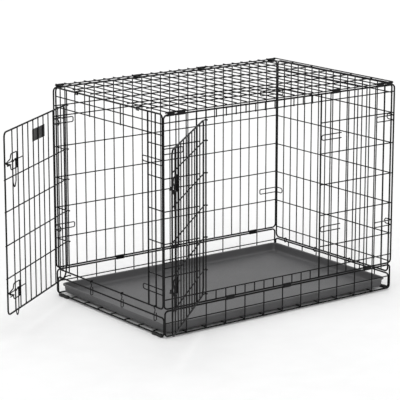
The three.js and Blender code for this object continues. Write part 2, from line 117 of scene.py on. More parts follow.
# ---- the real wires, clips and bends (mm) ----
HEAVY_R = HALF
LIGHT_R = 1.95
HEAVY_SIDES = 12                 # facets round a wire
LIGHT_SIDES = 10
EYE_SIDES = 8
LAYER = 1.7                      # uprights and rows stand this far either side of a grille's middle plane
POST_R = 2.1
POST_ROOM = 0.4                  # between a hinge post's end and the wire it stands against
STUB_R = 2.1
LATCH_STILE_R = 2.4
LOOP_R = 4.2
LEAF_OFFSET = 6.7                # hinge post to the leaf's middle plane
SIDE_EDGE = LENGTH / 2           # corner wires of a side panel
SIDE_BEND = 13
END_BEND = 14
BASE_BEND = 11
FLOOR_BEND = 4
BASE_END_HALF = 302.5
TOP_RAIL_DROP = 1.4              # long wires of the top grille, below its middle plane
ROW_OVERHANG = 2.5
TOP_OVERHANG = 4
WELD = (2.0, 1.2, 2.0)           # half sizes of a weld bead
WELD_SHOULDER = 0.55             # its rings stand at this share of its half height
WELD_SIDES = 8
TAPER = 0.7                      # a cut wire end narrows to this share of its radius
NOSE = 0.3                       # over this share of its radius
BEND_STEP = math.radians(15)
STRAIGHT = math.radians(1)       # a turn smaller than this is left sharp
LEG_SHARE = 0.49                 # a bend takes up at most this share of either leg

SIDE_DOOR = {"width": 473, "bottom": 112, "top": 672, "open": 138, "rows": ROWS, "ends": 478, "first": 48,
             "bends": [28, 17, 19, 9], "bolts": [250, 555], "bolt_bend": 476, "bolt_tip": 493.5,
             "keeper": (161, 246)}
END_DOOR = {"width": 486, "bottom": 76, "top": 655, "open": 55, "rows": [196, 300, 406, 507],
            "ends": 493.5, "first": 62, "bends": [28, 16, 15, 9], "bolts": [140, 550],
            "bolt_bend": 460.4, "bolt_tip": 490, "keeper": (186, 298)}
# A leaf's wires curl round the post: where they leave the straight and meet the curl, its gap and its arc.
CURL = {"stub": 30, "dip": 13, "meet": 5, "gap": 0.25, "from": -90, "to": -345, "step": -20}
# Latch parts, placed by their distance from the hinge post and from the bolt's own height.
BRACKET = {"far": 381, "shoulder": 425, "step": 430, "near": 454, "half": 25, "notch": 10, "tip": 5,
           "gap": 3.5, "eye": 453, "wire": 1.8, "y": -11.8}
BOLT = {"wire": 1.7, "tail": 334, "tip_y": 4.8, "bend": 2.6}
EYE = {"ring": 3.2, "wire": 1.4}
HANDLE = {"at": 397, "half": 11, "length": 83, "taper": 16, "tip": 3, "wire": 1.8}
PLATE = {"from": 162, "to": 260, "bottom": 581, "top": 620, "outer": 11.6, "inner": 10.2, "crease": 50}
KEEPER = {"wire": 1.8, "half": 8.5, "y": 4.1}
CORNER_HOOK = {"y": 274, "corner": 303, "upper": 588, "lower": 230, "plane": -4.2}
CLASP = {"reach": 396, "y": 1.0, "bend": 5}
TOP_HOOK = {"at": [168, -172], "wire": 1.6, "half": 4.5, "bend": 2.2, "start": 14, "room": 0.5,
            "room_above": 0.4}
HINGE_HOOK = {"wire": 1.45, "room": 0.3, "bite": 0.1, "at": [101, -74, -256], "tail": -17}

PAN = {"x": 461, "y": 301, "corner": 24, "least_corner": 7, "crease": 40}
# How far in from the lip's edge, and how high, the tray's section runs.
PAN_SECTION = [
    (30, 8.3), (24, 8.3), (19.5, 8.5), (16, 9.4), (13, 11.4), (11, 14.4), (10.1, 18), (8.3, 33.5),
    (8.0, 35.2), (7.2, 36.4), (5.8, 37), (1.8, 37), (0.6, 36.6), (0, 35.4), (0, 33), (0.5, 32.3),
    (1.3, 32.3), (1.8, 33), (2.2, 34.3), (3.4, 34.7), (4.8, 34.2), (5.3, 32.5), (7.4, 15), (8.6, 10.6),
    (11, 7.6), (14.5, 6.1), (19, 5.8), (26, 5.8)]
PULL_HOLE = {"centres": [82, -3], "radius": 4, "z": 29.5, "sides": 20, "outer": 2.4, "inner": 16}
FOOT = {"y": 268, "length": 50, "outer": 6.05, "drop": -4, "rise": 5.2, "slot": 3.05, "steps": 8,
        "crease": 45}
CLIP = {"radius": 3.5, "sheet": 1.25, "length": 28, "long": 31, "steps": 9, "seam": 0.9, "crease": 50}
# Along half a clip: place as a share of its length, and how full the sheet is there.
CLIP_STATIONS = [(-0.5, 0.25), (-0.485, 0.75), (-0.46, 1), (-0.3, 1), (-0.27, 0.82), (-0.24, 1)]
CLIP_BEVEL = 0.45                # beyond this share of its length the sheet thins on both faces

# ---- finishes: how the noise is shared out ----
SPECK_SCALE = 0.35               # the specks' scale, as a share of the grain's
DRIFT_SHARE = 0.6                # the rest of the colour's change comes from the specks
COLOUR_RANGE = (0.38, 0.62)      # noise values that give the darkest and the lightest colour
GLOSS_RANGE = (0.3, 0.7)         # noise values that give the smoothest and the roughest finish

# ---- studio and camera (metres, degrees) ----
CAMERA = {"azimuth": -36.76, "elevation": 13.27, "distance": 6.318, "focal": 170.87, "sensor": 36,
          "aim_height": 0.355, "aim_right": -0.0816, "aim_up": -0.0393, "clip_end": 100}
FLOOR_HALF = 30.0
KEY_SUN = {"direction": (-0.45, -0.5, 1.0), "angle": 70, "strength": 1.65}
BACK_SUN = {"direction": (0.4, 0.6, 1.0), "angle": 90, "strength": 0.95}
WORLD_STRENGTH = 0.42


def column(i):
    return -SIDE_HALF + i * PITCH


def turned(degrees, axis="Z"):
    return Matrix.Rotation(math.radians(degrees), 4, axis)


def moved(x, y, z):
    return Matrix.Translation((x, y, z))


# Where each panel and each open leaf stands. In its own axes it is upright, outer face to -Y.
FRONT = moved(0, -SIDE_Y, 0)
BACK = moved(0, SIDE_Y, 0) @ turned(180)
LEFT = moved(-END_X, 0, 0) @ turned(-90)
RIGHT = moved(END_X, 0, 0) @ turned(90)
TOP = moved(0, 0, TOP_Z) @ turned(-90, "X")
SIDE_LEAF = moved(column(HINGE_COLUMN), -SIDE_Y, 0) @ turned(-SIDE_DOOR["open"])
END_LEAF = moved(-END_X, END_HINGE_Y, 0) @ turned(-90 - END_DOOR["open"])


# ---- wires ----
def bend_points(before, corner, after, radius):
    """Points along the round bend that replaces one corner of a path."""
    back = before - corner
    ahead = after - corner
    reach = LEG_SHARE * min(back.length, ahead.length)
    back.normalize()
    ahead.normalize()
    opening = back.angle(ahead)
    turn = math.pi - opening
    if turn < STRAIGHT:
        return [corner]
    tangent = min(radius / math.tan(opening / 2), reach)
    radius = tangent * math.tan(opening / 2)
    centre = corner + (back + ahead).normalized() * (radius / math.sin(opening / 2))
    start = corner + back * tangent - centre
    axis = start.cross(corner + ahead * tangent - centre)
    steps = max(2, math.ceil(turn / BEND_STEP))
    return [centre + Matrix.Rotation(turn * i / steps, 3, axis) @ start for i in range(steps + 1)]


def bent(path, bend, closed):
    """The path with round bends. bend is one radius, or a list with one for each corner."""
    points = [Vector(p) for p in path]
    count = len(points)
    bends = bend if isinstance(bend, list) else [bend] * count
    line = []
    for i, point in enumerate(points):
        if bends[i] <= 0 or (not closed and i in (0, count - 1)):
            line.append(point)
        else:
            line += bend_points(points[i - 1], point, points[(i + 1) % count], bends[i])
    return line


class Shell:
    """Points and faces in millimetres that become one mesh."""

    def __init__(self):
        self.points = []
        self.faces = []

    def loop(self, points):
        start = len(self.points)
        self.points += [Vector(p) for p in points]
        return start

    def bridge(self, a, b, count, closed=True):
        for k in range(count if closed else count - 1):
            n = (k + 1) % count
            self.faces.append((a + k, a + n, b + n, b + k))

    def cap(self, start, order):
        self.faces.append(tuple(start + k for k in order))

    def add(self, other, matrix):
        start = self.loop([matrix @ p for p in other.points])
        self.faces += [tuple(start + k for k in face) for face in other.faces]

    def build(self, name, matrix=None):
        place = matrix or Matrix.Identity(4)
        mesh = bpy.data.meshes.new(name)
        mesh.from_pydata([(place @ p) * MM for p in self.points], [], self.faces)
        mesh.shade_smooth()
        piece = bpy.data.objects.new(name, mesh)
        bpy.context.scene.collection.objects.link(piece)
        return piece


class Wires(Shell):
    """Round wires that are bent, cut and welded."""

    def run(self, path, radius=LIGHT_R, bend=0, closed=False, sides=LIGHT_SIDES):
        line = bent(path, bend, closed)
        count = len(line)
        legs = [(line[(i + 1) % count] - line[i]).normalized() for i in range(count)]
        if not closed:
            legs[-1] = legs[-2]
        ahead = [(legs[i] + legs[i - 1]).normalized() if closed or i else legs[0] for i in range(count)]
        thinnest = min(range(3), key=lambda k: abs(ahead[0][k]))
        side = Vector([1.0 if k == thinnest else 0.0 for k in range(3)])
        turns = [2 * math.pi * (k + 0.5) / sides for k in range(sides)]
        starts = []

        def ring(centre, along, size):
            up = along.cross(side)
            starts.append(self.loop([centre + (side * math.cos(a) + up * math.sin(a)) * size
                                     for a in turns]))

        for i, point in enumerate(line):
            along = ahead[i]
            side = (side - along * side.dot(along)).normalized()
            if not closed and i == 0:
                ring(point, along, radius * TAPER)
                ring(point + along * radius * NOSE, along, radius)
            elif not closed and i == count - 1:
                ring(point - along * radius * NOSE, along, radius)
                ring(point, along, radius * TAPER)
            else:
                ring(point, along, radius)
        for a, b in zip(starts, starts[1:]):
            self.bridge(a, b, sides)
        if closed:
            self.bridge(starts[-1], starts[0], sides)
        else:
            self.cap(starts[0], reversed(range(sides)))
            self.cap(starts[-1], range(sides))

    def weld(self, centre, size=WELD):
        """A squeezed-out bead of metal at a spot weld."""
        point = Vector(centre)
        turns = [-2 * math.pi * k / WELD_SIDES for k in range(WELD_SIDES)]
        share = math.sqrt(1 - WELD_SHOULDER * WELD_SHOULDER)
        starts = []
        for level in (-WELD_SHOULDER, WELD_SHOULDER):
            starts.append(self.loop([
                point + Vector((size[0] * share * math.cos(a), size[1] * level,
                                size[2] * share * math.sin(a)))
                for a in turns]))
        low = self.loop([point - Vector((0, size[1], 0))])
        high = self.loop([point + Vector((0, size[1], 0))])
        self.bridge(starts[0], starts[1], WELD_SIDES)
        for k in range(WELD_SIDES):
            n = (k + 1) % WELD_SIDES
            self.faces.append((low, starts[0] + n, starts[0] + k))
            self.faces.append((high, starts[1] + k, starts[1] + n))


class Panel(Wires):
    """A welded grille: uprights on its outer face (-Y), rows on its inner face."""

    def __init__(self, middle=0.0):
        super().__init__()
        self.middle = middle
        self.uprights = []
        self.rows = []

    def frame(self, x0, x1, z0, z1, bend):
        y = self.middle
        self.run([(x0, y, z0), (x1, y, z0), (x1, y, z1), (x0, y, z1)], HEAVY_R, bend, closed=True,
                 sides=HEAVY_SIDES)

    def heavy(self, x, z0, z1, radius=HEAVY_R):
        self.run([(x, self.middle, z0), (x, self.middle, z1)], radius, sides=HEAVY_SIDES)

    def upright(self, x, z0, z1):
        y = self.middle - LAYER
        self.run([(x, y, z0), (x, y, z1)])
        self.uprights.append((x, z0, z1))

    def row(self, z, x0, x1):
        y = self.middle + LAYER
        self.run([(x0, y, z), (x1, y, z)])
        self.rows.append((z, x0, x1))

    def weld_crossings(self):
        for x, z0, z1 in self.uprights:
            for z, x0, x1 in self.rows:
                if x0 < x < x1 and z0 < z < z1:
                    self.weld((x, self.middle, z))


# ---- grilles ----
def side_frame(panel):
    panel.frame(-SIDE_EDGE, SIDE_EDGE, SIDE_RAIL_Z, SIDE_TOP_Z, SIDE_BEND)


def front_side():
    panel = Panel()
    side_frame(panel)
    hinge = column(HINGE_COLUMN)
    jamb = column(JAMB_COLUMN)
    panel.heavy(hinge, SIDE_RAIL_Z, SIDE_SILL_Z + HALF, STUB_R)
    panel.heavy(hinge, SIDE_HEADER_Z - HALF, SIDE_TOP_Z, STUB_R)
    panel.heavy(jamb, SIDE_RAIL_Z, SIDE_TOP_Z)
    for i in range(1, BAYS):
        if i in (HINGE_COLUMN, JAMB_COLUMN):
            continue
        if HINGE_COLUMN < i < JAMB_COLUMN:
            panel.upright(column(i), SIDE_RAIL_Z, SIDE_SILL_Z + ROW_OVERHANG)
            panel.upright(column(i), SIDE_HEADER_Z - ROW_OVERHANG, SIDE_TOP_Z)
        else:
            panel.upright(column(i), SIDE_RAIL_Z, SIDE_TOP_Z)
    for z in (SIDE_SILL_Z, SIDE_HEADER_Z):
        panel.row(z, -SIDE_EDGE, SIDE_EDGE)
    for z in ROWS:
        panel.row(z, -SIDE_EDGE, hinge - LEAF_ROOM)
        panel.row(z, jamb, SIDE_EDGE)
    panel.weld_crossings()
    side_clasps(panel)
    return panel


def back_side():
    panel = Panel()
    side_frame(panel)
    for i in range(1, BAYS):
        panel.upright(column(i), SIDE_RAIL_Z, SIDE_TOP_Z)
    for z in [*ROWS, BACK_EXTRA_ROW]:
        panel.row(z, -SIDE_EDGE, SIDE_EDGE)
    panel.weld_crossings()
    side_clasps(panel)
    return panel


def top_grille():
    """Lies down: its uprights run across the crate, uppermost, and their ends stand past the rails."""
    panel = Panel()
    for z in (-SIDE_Y, SIDE_Y):
        panel.run([(-SIDE_HALF, TOP_RAIL_DROP, z), (SIDE_HALF, TOP_RAIL_DROP, z)])
    reach = SIDE_Y + TOP_OVERHANG
    for x in [-TOP_END_X, TOP_END_X, *[column(i) for i in range(1, BAYS)]]:
        panel.upright(x, -reach, reach)
    for j in range(TOP_ROWS):
        z = (j - (TOP_ROWS - 1) / 2) * TOP_ROW_STEP
        panel.row(z, -TOP_END_X - ROW_OVERHANG, TOP_END_X + ROW_OVERHANG)
    panel.weld_crossings()
    for z in TOP_HOOK["at"]:
        panel.run(end_hook(z), TOP_HOOK["wire"], TOP_HOOK["bend"])
    return panel


def end_hook(middle):
    """A doubled wire hook on the top's end wire, round the outside of the door end's top rail."""
    room = TOP_HOOK["room"]
    grip = HEAVY_R + TOP_HOOK["wire"]
    rail = TOP_Z - END_TOP_Z
    out = -END_X - grip - room
    above = rail - grip - TOP_HOOK["room_above"]
    below = rail + grip + room
    start = -TOP_END_X + TOP_HOOK["start"]
    lip = -END_X - room
    path = []
    for z in (middle - TOP_HOOK["half"], middle + TOP_HOOK["half"]):
        leg = [(start, above, z), (out, above, z), (out, below, z), (lip, below, z)]
        path += leg if not path else list(reversed(leg))
    return path


def left_end():
    """The door end. Its own x axis runs along the crate's -Y."""
    panel = Panel()
    edge = END_HALF - HALF
    post = -END_HINGE_Y
    jamb = -END_JAMB_Y
    panel.frame(-edge, edge, LEFT_RAIL_Z, END_TOP_Z, END_BEND)
    panel.heavy(jamb, LEFT_RAIL_Z, END_TOP_Z)
    panel.heavy(post, END_HEADER_Z - HALF, END_TOP_Z, STUB_R)
    panel.upright(HINGE_STILE, LEFT_RAIL_Z, END_TOP_Z)
    panel.heavy(LATCH_STILE, LEFT_RAIL_Z, END_TOP_Z, LATCH_STILE_R)
    for x in HEADER_TIES:
        panel.upright(x, END_HEADER_Z - ROW_OVERHANG, END_TOP_Z)
    for z in (END_HEADER_Z, END_UPPER_Z):
        panel.row(z, -edge, edge)
    for z in ROWS:
        panel.row(z, -edge, post - LEAF_ROOM)
        panel.row(z, jamb, edge)
    panel.weld_crossings()
    return panel


def right_end():
    panel = Panel()
    edge = END_HALF - HALF
    panel.frame(-edge, edge, RIGHT_RAIL_Z, END_TOP_Z, END_BEND)
    for i in range(1, RIGHT_BAYS):
        panel.upright(-END_HALF + i * 2 * END_HALF / RIGHT_BAYS, RIGHT_RAIL_Z, END_TOP_Z)
    for z in [RIGHT_EXTRA_ROW, *ROWS, END_UPPER_Z]:
        panel.row(z, -edge, edge)
    panel.weld_crossings()
    return panel


# ---- base ----
def base_basket():
    base = Wires()
    for place in (FRONT, BACK):
        wall = Panel()
        wall.frame(-END_X, END_X, BASE_SILL_Z, BASE_RAIL_Z, BASE_BEND)
        for i in range(1, BAYS // 2):
            wall.upright(column(2 * i), BASE_SILL_Z, BASE_RAIL_Z)
        wall.row(BASE_MID_Z, -END_X - ROW_OVERHANG, END_X + ROW_OVERHANG)
        wall.weld_crossings()
        base.add(wall, place)
    for place, rail in ((LEFT, LEFT_AXIS_Z), (RIGHT, RIGHT_AXIS_Z)):
        wall = Panel()
        wall.frame(-BASE_END_HALF, BASE_END_HALF, BASE_SILL_Z, rail, BASE_BEND)
        base.add(wall, place)
    floor = LIGHT_R
    cross = floor + 2 * LAYER
    outside = END_X + LAYER
    turned_up = RIGHT_AXIS_Z + 1
    lying_weld = (WELD[0], WELD[2], WELD[1])
    for i in range(1, FLOOR_BAYS):
        y = -SIDE_Y + 2 * SIDE_Y * i / FLOOR_BAYS
        base.run([(-outside, y, floor), (outside, y, floor), (outside, y, turned_up)], bend=FLOOR_BEND)
        for j in range(1, BAYS // 2):
            base.weld((column(2 * j), y, (floor + cross) / 2), lying_weld)
    for j in range(1, BAYS // 2):
        base.run([(column(2 * j), -SIDE_Y, cross), (column(2 * j), SIDE_Y, cross)])
    return base


# ---- hinges ----
def wire_loop():
    """A closed wire loop round the base's end rail and the panel's rail above it."""
    wires = Wires()
    reach = HEAVY_R + HINGE_HOOK["wire"] + HINGE_HOOK["room"]
    almost_round = reach * 0.98
    wires.run([(-reach, 0, -reach), (reach, 0, -reach), (reach, 0, HINGE_STEP + reach),
               (-reach, 0, HINGE_STEP + reach)], HINGE_HOOK["wire"], almost_round, closed=True)
    return wires


def end_hinge_hook():
    """Wrapped on the door end's rail, it hangs as a long loop round the base rail."""
    wires = Wires()
    reach = HEAVY_R + HINGE_HOOK["wire"] + HINGE_HOOK["room"]
    grip = HEAVY_R + HINGE_HOOK["wire"] - HINGE_HOOK["bite"]
    rail = LEFT_RAIL_Z - LEFT_AXIS_Z
    tail = HINGE_HOOK["tail"]
    path = [(grip, 0, rail - 1.5), (grip, 0, rail + grip), (-grip, 0, rail + grip),
            (-grip, 0, rail - 2.5), (-0.5, 0, rail - 8), (-0.5, 0, 14), (-reach, 0, 6),
            (-reach, 0, tail), (reach, 0, tail), (reach, 0, 5.5), (2, 0, 8)]
    wires.run(path, HINGE_HOOK["wire"], [0, 4, 4, 2, 3, 3, 3, 4, 4, 3, 0])
    return wires


def hinge_clip(reach, length, seam):
    """A strip of sheet steel rolled round two rails, with its seam on the side given (1 or -1, along Y)."""
    shell = Shell()
    half_sheet = CLIP["sheet"] / 2
    ordered = [(1, 0, reach / 2 + CLIP["seam"])]
    for first, height in ((0, reach), (180, 0)):
        for k in range(CLIP["steps"] + 1):
            angle = math.radians(first + 180 * k / CLIP["steps"])
            ordered.append((math.cos(angle), math.sin(angle), height))
    ordered.append((1, 0, reach / 2 - CLIP["seam"]))
    stations = CLIP_STATIONS + [(-share, fullness) for share, fullness in reversed(CLIP_STATIONS)]
    count = len(ordered)
    outer_starts = []
    inner_starts = []
    for share, fullness in stations:
        x = share * length
        outer = CLIP["radius"] + half_sheet * fullness
        inner = CLIP["radius"] - half_sheet * (fullness if abs(share) > CLIP_BEVEL else 1)
        outer_starts.append(shell.loop([(x, seam * c * outer, z + s * outer) for c, s, z in ordered]))
        inner_starts.append(shell.loop([(x, seam * c * inner, z + s * inner) for c, s, z in ordered]))
    for a, b in zip(outer_starts, outer_starts[1:]):
        shell.bridge(a, b, count, closed=False)
    for a, b in zip(inner_starts, inner_starts[1:]):
        shell.bridge(b, a, count, closed=False)
    for a, b in ((inner_starts[0], outer_starts[0]), (outer_starts[-1], inner_starts[-1])):
        shell.bridge(a, b, count, closed=False)
    for k in (0, count - 1):
        for i in range(len(stations) - 1):
            quad = (outer_starts[i] + k, outer_starts[i + 1] + k,
                    inner_starts[i + 1] + k, inner_starts[i] + k)
            shell.faces.append(quad if k else tuple(reversed(quad)))
    return shell


# ---- doors: hinge post on the Z axis, leaf along +X, outer face to -Y when closed ----
def hinge_post(lower, upper):
    """The wire that a leaf turns on, between two heavy wires whose middles are at the heights given."""
    post = Wires()
    room = HALF + POST_ROOM
    post.run([(0, 0, lower + room), (0, 0, upper - room)], POST_R, sides=HEAVY_SIDES)
    return post


def hinge_curl(panel, z, end, y):
    """A leaf's wire that ends in a loop curled round the hinge post."""
    path = [(end, y, z), (CURL["dip"], y, z), (CURL["meet"], -LOOP_R - CURL["gap"], z)]
    for degrees in range(CURL["from"], CURL["to"], CURL["step"]):
        angle = math.radians(degrees)
        path.append((LOOP_R * math.cos(angle), LOOP_R * math.sin(angle), z))
    panel.run(path)


def door_leaf(door):
    panel = Panel(-LEAF_OFFSET)
    start = LEAF_START + HALF
    free = door["width"] - HALF
    bottom = door["bottom"] + HALF
    top = door["top"] - HALF
    panel.frame(start, free, bottom, top, door["bends"])
    for z in (bottom, top):
        hinge_curl(panel, z, start + CURL["stub"], panel.middle)
    x = free - door["first"]
    narrowest_bay = HALF + 12
    while x > start + narrowest_bay:
        panel.upright(x, bottom, top)
        x -= LEAF_PITCH
    for z in door["rows"]:
        hinge_curl(panel, z, door["ends"], panel.middle + LAYER)
        panel.rows.append((z, start, door["ends"]))
        panel.weld((free, panel.middle + LAYER, z))
    panel.weld_crossings()
    return panel


def rod_eye(wires, x, y):
    """A small ring of wire round the bolt rod."""
    ring = EYE["ring"]
    points = [(x, y + ring * math.cos(math.radians(a)), ring * math.sin(math.radians(a)))
              for a in range(0, 360, 30)]
    wires.run(points, EYE["wire"], closed=True, sides=EYE_SIDES)


def latch_bracket():
    """A bent wire with an arrow point towards the free edge, and two eyes for the bolt."""
    wires = Wires()
    b = BRACKET
    y = b["y"]
    path = [(b["far"], y, b["gap"]), (b["far"], y, b["half"]), (b["shoulder"], y, b["half"]),
            (b["step"], y, b["notch"]), (b["near"], y, b["tip"]), (b["near"], y, -b["tip"]),
            (b["step"], y, -b["notch"]), (b["shoulder"], y, -b["half"]), (b["far"], y, -b["half"]),
            (b["far"], y, -b["gap"])]
    wires.run(path, b["wire"], [0, 3, 8, 7, 4, 4, 7, 8, 3, 0])
    rod_eye(wires, b["far"], BOLT_Y)
    rod_eye(wires, b["eye"], BOLT_Y)
    return wires


def bolt_rod(door):
    """The rod turns inwards near the free edge, and its tip runs behind the panel's wires."""
    wires = Wires()
    bend = door["bolt_bend"]
    wires.run([(BOLT["tail"], BOLT_Y, 0), (bend, BOLT_Y, 0), (bend, BOLT["tip_y"], 0),
               (door["bolt_tip"], BOLT["tip_y"], 0)], BOLT["wire"], BOLT["bend"])
    return wires


def bolt_handle():
    """A narrow wire loop with an eye on each leg, hanging on the rod."""
    wires = Wires()
    half = HANDLE["half"]
    tip = HANDLE["tip"]
    ring = EYE["ring"]
    end = -HANDLE["length"]
    waist = end + HANDLE["taper"]
    wires.run([(-half, 0, -ring), (-half, 0, waist), (-tip, 0, end), (tip, 0, end),
               (half, 0, waist), (half, 0, -ring)], HANDLE["wire"], [0, 14, 4, 4, 14, 0])
    for x in (-half, half):
        rod_eye(wires, x, 0)
    return wires


def hasp(closed, ends, y):
    """A round-ended U of wire in the plane y, with its legs' open ends at the x given as ends."""
    wires = Wires()
    half = KEEPER["half"]
    almost_round = half * 0.95
    wires.run([(ends, y, half), (closed, y, half), (closed, y, -half), (ends, y, -half)],
              KEEPER["wire"], almost_round)
    return wires


def side_clasps(panel):
    """The corner hooks' long legs, welded behind the first uprights of a side panel."""
    half = KEEPER["half"]
    y = CLASP["y"]
    for side in (-1, 1):
        for level in ("upper", "lower"):
            z = CORNER_HOOK[level]
            out = side * SIDE_EDGE
            closed = side * CLASP["reach"]
            panel.run([(out, y, z + half), (closed, y, z + half), (closed, y, z - half),
                       (out, y, z - half)], KEEPER["wire"], CLASP["bend"])


# ---- moulded pieces ----
def rounded_rectangle(half_x, half_y, corner, z, steps=6):
    points = []
    for sx, sy, first in ((1, 1, 0), (-1, 1, 90), (-1, -1, 180), (1, -1, 270)):
        for k in range(steps + 1):
            angle = math.radians(first + 90 * k / steps)
            points.append((sx * (half_x - corner) + corner * math.cos(angle),
                           sy * (half_y - corner) + corner * math.sin(angle), z))
    return points


def floor_pan():
    """A drafted tray with a rolled lip, filleted floor and two round pull holes."""
    shell = Shell()
    rings = []
    for inset, z in PAN_SECTION:
        corner = max(PAN["corner"] - inset, PAN["least_corner"])
        rings.append(rounded_rectangle(PAN["x"] - inset, PAN["y"] - inset, corner, z))
    count = len(rings[0])
    starts = [shell.loop(ring) for ring in rings]
    for a, b in zip(starts, starts[1:]):
        shell.bridge(a, b, count)
    shell.cap(starts[0], range(count))
    shell.cap(starts[-1], reversed(range(count)))
    pan = shell.build("floor_pan_look")
    for y in PULL_HOLE["centres"]:
        cut_hole(pan, y)
    pan.data.shade_smooth()
    pan.data.set_sharp_from_angle(angle=math.radians(PAN["crease"]))
    return pan


def cut_hole(pan, y):
    """Cuts one pull hole through the door end's wall, its middle at y."""
    cutter_shell = Shell()
    sides = PULL_HOLE["sides"]
    radius = PULL_HOLE["radius"]
    turns = [2 * math.pi * k / sides for k in range(sides)]
    starts = []
    for inset in (PULL_HOLE["outer"], PULL_HOLE["inner"]):
        x = -PAN["x"] + inset
        ring = [(x, y + radius * math.cos(a), PULL_HOLE["z"] + radius * math.sin(a)) for a in turns]
        starts.append(cutter_shell.loop(ring))
    cutter_shell.bridge(starts[0], starts[1], sides)
    cutter_shell.cap(starts[0], reversed(range(sides)))
    cutter_shell.cap(starts[1], range(sides))
    cutter = cutter_shell.build("cutter")
    hole = pan.modifiers.new("hole", "BOOLEAN")
    hole.operation = "DIFFERENCE"
    hole.solver = "EXACT"
    hole.object = cutter
    bpy.context.view_layer.update()
    cut = bpy.data.meshes.new_from_object(pan.evaluated_get(bpy.context.evaluated_depsgraph_get()))
    pan.modifiers.clear()
    pan.data = cut
    bpy.data.objects.remove(cutter)


def foot():
    """A rubber saddle pushed up on an end rail: a round-bottomed slot and softened edges."""
    shell = Shell()
    outer, drop, rise, slot = FOOT["outer"], FOOT["drop"], FOOT["rise"], FOOT["slot"]

    def section(shrink):
        o = outer - shrink
        d = drop + shrink
        r = rise - shrink * 0.6
        brim = rise - shrink
        points = [(-slot, r), (-slot - 0.6, brim), (-o + 0.7, brim), (-o, r - 0.8), (-o, d + 2.6),
                  (-o + 0.8, d + 0.9), (-o + 2.4, d), (o - 2.4, d), (o - 0.8, d + 0.9), (o, d + 2.6),
                  (o, r - 0.8), (o - 0.7, brim), (slot + 0.6, brim), (slot, r)]
        for k in range(FOOT["steps"] + 1):
            angle = math.radians(180 * k / FOOT["steps"])
            points.append((slot * math.cos(angle), HALF - slot * math.sin(angle)))
        return points

    # Along half the foot: place, and how much its section shrinks there.
    half = FOOT["length"] / 2
    near_end = [(-half, 1.3), (-half + 0.4, 0.6), (-half + 1.4, 0), (-8, 0), (-7.4, 0.5)]
    stations = near_end + [(-y, shrink) for y, shrink in reversed(near_end)]
    starts = [shell.loop([(x, y, z) for x, z in section(shrink)]) for y, shrink in stations]
    count = len(section(0))
    for a, b in zip(starts, starts[1:]):
        shell.bridge(b, a, count)
    shell.cap(starts[0], range(count))
    shell.cap(starts[-1], reversed(range(count)))
    return shell


def blank_plate():
    """A plain moulded plate with softened edges on its outer face."""
    shell = Shell()
    x0, x1, z0, z1 = PLATE["from"], PLATE["to"], PLATE["bottom"], PLATE["top"]
    front, back = -PLATE["outer"], -PLATE["inner"]
    chamfer = 1.2
    # Along the plate: place, how far the face is sunk, and how far the top and bottom draw in.
    stations = [(x0, 0.9, 1.2), (x0 + 0.4, 0.35, 0.4), (x0 + 1.4, 0, 0),
                (x1 - 1.4, 0, 0), (x1 - 0.4, 0.35, 0.4), (x1, 0.9, 1.2)]
    starts = []
    for x, sunk, ends in stations:
        y = front + sunk
        starts.append(shell.loop([
            (x, y + 0.5, z0 + ends), (x, y, z0 + ends + chamfer), (x, y, z1 - ends - chamfer),
            (x, y + 0.5, z1 - ends), (x, back, z1 - ends), (x, back, z0 + ends)]))
    count = len(shell.points) // len(stations)
    for a, b in zip(starts, starts[1:]):
        shell.bridge(a, b, count)
    shell.cap(starts[0], reversed(range(count)))
    shell.cap(starts[-1], range(count))
    return shell


# ---- materials ----
def surface(name, dark, light, rough, grain, bump, colour_scale, specular=0.5):
    """Procedural finish: slow colour drift, uneven gloss, and a fine grain in the bump.

    rough is (smoothest, roughest); grain and colour_scale are noise scales per metre; bump is a depth.
    """
    material = bpy.data.materials.new(name)
    material.use_nodes = True
    tree = material.node_tree
    shader = tree.nodes["Principled BSDF"]
    shader.inputs["Specular IOR Level"].default_value = specular
    place = tree.nodes.new("ShaderNodeTexCoord")

    def noise(scale, detail):
        node = tree.nodes.new("ShaderNodeTexNoise")
        node.inputs["Scale"].default_value = scale
        node.inputs["Detail"].default_value = detail
        tree.links.new(place.outputs["Object"], node.inputs["Vector"])
        return node.outputs["Fac"]

    drift = noise(colour_scale, 4)
    speck = noise(grain * SPECK_SCALE, 3)
    fine = noise(grain, 2)
    blend = tree.nodes.new("ShaderNodeMath")
    blend.operation = "MULTIPLY_ADD"
    blend.inputs[1].default_value = DRIFT_SHARE
    tree.links.new(drift, blend.inputs[0])
    share = tree.nodes.new("ShaderNodeMath")
    share.operation = "MULTIPLY"
    share.inputs[1].default_value = 1 - DRIFT_SHARE
    tree.links.new(speck, share.inputs[0])
    tree.links.new(share.outputs[0], blend.inputs[2])
    ramp = tree.nodes.new("ShaderNodeValToRGB")
    for element, position, colour in zip(ramp.color_ramp.elements, COLOUR_RANGE, (dark, light)):
        element.position = position
        element.color = (*colour, 1)
    tree.links.new(blend.outputs[0], ramp.inputs["Fac"])
    tree.links.new(ramp.outputs["Color"], shader.inputs["Base Color"])
    gloss = tree.nodes.new("ShaderNodeMapRange")
    for socket, value in zip(("From Min", "From Max", "To Min", "To Max"), (*GLOSS_RANGE, *rough)):
        gloss.inputs[socket].default_value = value
    tree.links.new(speck, gloss.inputs["Value"])
    tree.links.new(gloss.outputs["Result"], shader.inputs["Roughness"])
    relief = tree.nodes.new("ShaderNodeBump")
    relief.inputs["Strength"].default_value = 1.0
    relief.inputs["Distance"].default_value = bump
    tree.links.new(fine, relief.inputs["Height"])
    tree.links.new(relief.outputs["Normal"], shader.inputs["Normal"])
    return material


